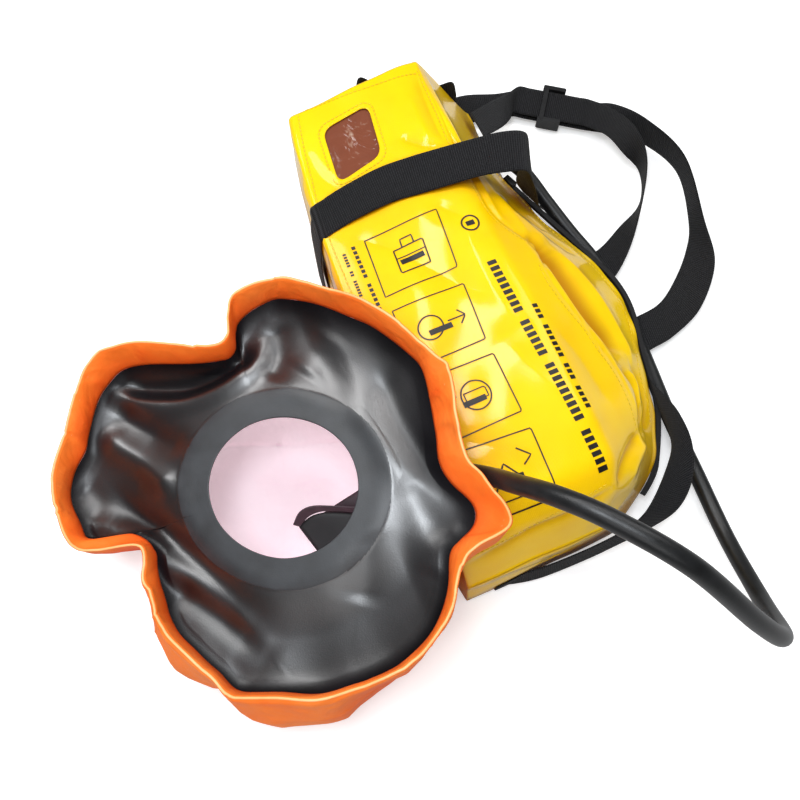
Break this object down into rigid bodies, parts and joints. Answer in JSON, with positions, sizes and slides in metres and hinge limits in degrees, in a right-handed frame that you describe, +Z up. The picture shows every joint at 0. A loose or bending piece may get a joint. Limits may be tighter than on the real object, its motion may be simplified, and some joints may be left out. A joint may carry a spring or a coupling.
{
  "type": "smoke hood",
  "caption": "Orange escape smoke hood with a black rubber neck seal, fed by an air hose from a yellow carrying bag that holds a charged breathing cylinder, with webbing straps.",
  "frame": {"origin": "on the floor, straight below the middle of the cylinder axis", "axes": "+Z up, +Y along the bag towards the valve and window end, +X across the bag towards the hood pocket side"},
  "size_m": [0.7071, 0.637, 0.2439],
  "materials": {
    "bag_cloth": "glossy coated yellow fabric with a fine weave",
    "hood_cloth": "satin orange coated fabric, pale inside",
    "neck_rubber": "smooth black rubber with a soft sheen",
    "hose_rubber": "satin black rubber",
    "seal_rubber": "matte black rubber",
    "flap_silicone": "translucent white silicone",
    "black_webbing": "ribbed woven black webbing",
    "black_plastic": "fine textured black moulding",
    "knob_plastic": "moulded green knob",
    "clear_film": "clear flexible film",
    "lens_glass": "clear lens",
    "dial_face": "white dial with coloured arc and ticks",
    "needle_red": "painted red pointer",
    "cylinder_paint": "dark brown painted steel",
    "valve_brass": "turned brass",
    "steel": "plated steel"
  },
  "bodies": {
    "bag": {"bag_back": "bag_cloth", "bag_front": "bag_cloth", "window_film": "clear_film", "fastener_tape": "black_webbing", "upper_band": "black_webbing", "lower_band": "black_webbing", "shoulder_strap": "black_webbing", "waist_strap": "black_webbing", "grab_handle": "black_webbing", "hose": "hose_rubber", "cylinder": "cylinder_paint", "cylinder_straps": "black_webbing", "neck_washer": "seal_rubber", "valve_body": "valve_brass", "gland_seal": "seal_rubber", "gland_nut": "valve_brass", "burst_plug": "valve_brass", "gauge_case": "steel", "gauge_dial": "dial_face", "gauge_lens": "lens_glass", "gauge_bezel": "steel", "reducer_body": "valve_brass", "reducer_spring": "steel", "reducer_cap": "valve_brass", "hose_fitting": "valve_brass", "hose_ferrule": "steel"},
    "hood": {"hood_shell": "hood_cloth", "visor": "clear_film", "visor_tape": "hood_cloth", "rim_collar": "hood_cloth", "neck_seal": "neck_rubber", "neck_ring": "neck_rubber", "head_strap": "black_webbing", "inlet_fitting": "black_plastic", "inlet_washer": "seal_rubber", "inlet_nut": "black_plastic", "diffuser": "black_plastic", "exhale_seat": "black_plastic", "exhale_nut": "black_plastic", "exhale_cover": "black_plastic"},
    "exhale_flap": {"exhale_flap": "flap_silicone"},
    "handwheel": {"handwheel": "knob_plastic", "handwheel_spindle": "steel", "handwheel_nut": "steel"},
    "valve_stem": {"valve_stem": "valve_brass"},
    "gauge_needle": {"gauge_needle": "needle_red"},
    "reducer_piston": {"reducer_piston": "valve_brass"},
    "fill_cap": {"fill_cap": "black_plastic"},
    "fastener_runner": {"fastener_runner": "black_plastic"},
    "strap_slider": {"strap_slider": "black_plastic"}
  },
  "joints": [
    {"name": "hood_lift", "type": "slide", "parent": "bag", "child": "hood", "axis": [0, 0, 1], "range_m": [0, 0.12], "deforming": ["hose"]},
    {"name": "exhale_flap_lift", "type": "slide", "parent": "hood", "child": "exhale_flap", "axis": [0, 1, 0], "range_m": [0, 0.0015]},
    {"name": "handwheel_turn", "type": "hinge", "parent": "bag", "child": "handwheel", "pos_m": [0, 0.21, 0.063], "axis": [0, 1, 0], "range_deg": [0, 720]},
    {"name": "stem_travel", "type": "slide", "parent": "bag", "child": "valve_stem", "axis": [0, 1, 0], "range_m": [0, 0.0031]},
    {"name": "needle_swing", "type": "hinge", "parent": "bag", "child": "gauge_needle", "pos_m": [-0.008, 0.18, 0.1], "axis": [0, 0, 1], "range_deg": [-25, 240]},
    {"name": "piston_travel", "type": "slide", "parent": "bag", "child": "reducer_piston", "axis": [1, 0, 0], "range_m": [-0.002, 0.002], "deforming": ["reducer_spring"]},
    {"name": "fill_cap_removal", "type": "slide", "parent": "bag", "child": "fill_cap", "axis": [0, 0, -1], "range_m": [0, 0.014]},
    {"name": "runner_travel", "type": "slide", "parent": "bag", "child": "fastener_runner", "axis": [0.3121, -0.9501, 0], "range_m": [0, 0.035]},
    {"name": "slider_travel", "type": "slide", "parent": "bag", "child": "strap_slider", "axis": [0.8, -0.6, 0], "range_m": [-0.018, 0.018]}
  ],
  "couplings": [
    {"joint": "stem_travel", "follows": "handwheel_turn", "m_per_rad": 0.00023873}
  ]
}
